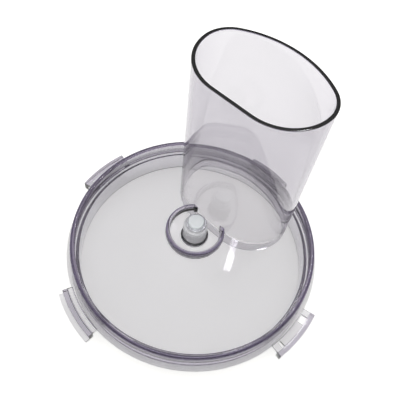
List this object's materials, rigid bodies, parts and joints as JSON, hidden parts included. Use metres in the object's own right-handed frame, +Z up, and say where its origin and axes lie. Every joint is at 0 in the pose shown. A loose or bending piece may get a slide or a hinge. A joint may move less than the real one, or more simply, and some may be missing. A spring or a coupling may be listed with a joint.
{
  "type": "food processor lid",
  "caption": "Clear domed food processor bowl lid with a tall flat-fronted feed tube, bayonet lugs round its rim and a white spindle bearing in a raised hub well.",
  "frame": {"origin": "on the spindle axis, in the plane of the skirt's lower edge, which the lid stands on", "axes": "+Z up along the spindle axis, +Y towards the feed tube, +X to the right seen from the front"},
  "size_m": [0.2166, 0.2176, 0.1685],
  "materials": {
    "clear_plastic": "clear, polished, slightly lavender in thick sections",
    "tube_plastic": "clear, polished, slightly lavender in thick sections",
    "sleeve_plastic": "milky, half clear",
    "bearing_plastic": "white acetal, satin",
    "ring_steel": "bright spring steel"
  },
  "bodies": {
    "lid": {"lid_body": "clear_plastic", "feed_tube": "tube_plastic", "boss_sleeve": "sleeve_plastic"},
    "bush": {"spindle_bush": "bearing_plastic", "retaining_ring": "ring_steel"}
  },
  "joints": [
    {"name": "bush_spin", "type": "hinge", "parent": "lid", "child": "bush", "pos_m": [0, 0, 0.04], "axis": [0, 0, 1], "continuous": true}
  ]
}
